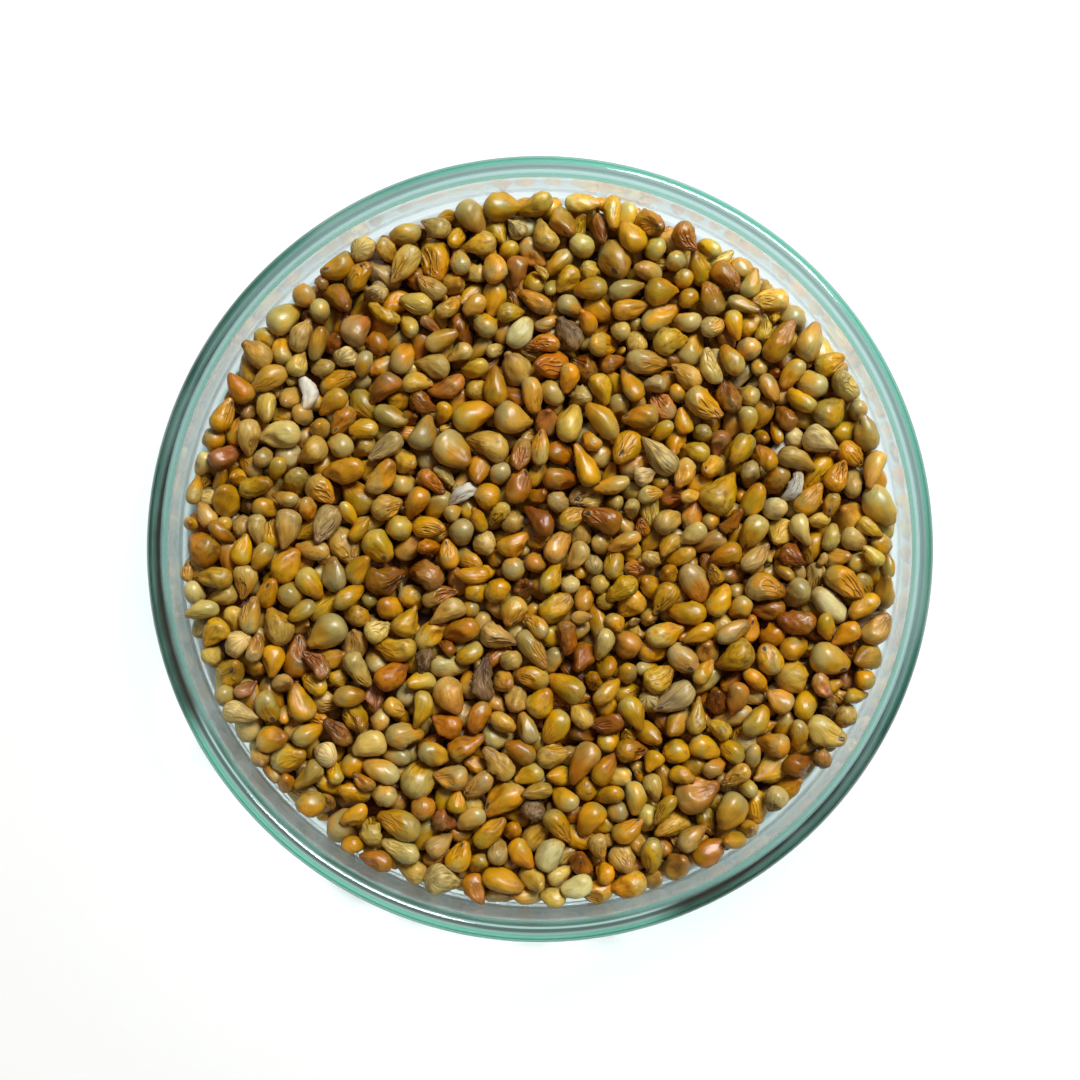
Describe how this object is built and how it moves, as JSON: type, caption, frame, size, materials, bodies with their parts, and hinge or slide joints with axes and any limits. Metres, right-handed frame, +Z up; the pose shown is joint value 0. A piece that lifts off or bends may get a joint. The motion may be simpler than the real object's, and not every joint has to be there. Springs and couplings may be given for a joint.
{
  "type": "dish of pearl millet",
  "caption": "Open clear glass Petri dish filled about halfway with loose pearl millet grains, lying level with an uneven top.",
  "frame": {"origin": "centre of the underside of the dish's foot, on the surface that it stands on", "axes": "+Z up out of the dish, +Y towards the top of the picture, +X towards its right side"},
  "size_m": [0.09, 0.09, 0.016],
  "materials": {
    "clear_glass": "smooth, with a teal tint where it is seen edge-on",
    "millet_grain": null
  },
  "bodies": {
    "root": {"petri_dish": "clear_glass", "millet": "millet_grain"}
  },
  "joints": []
}
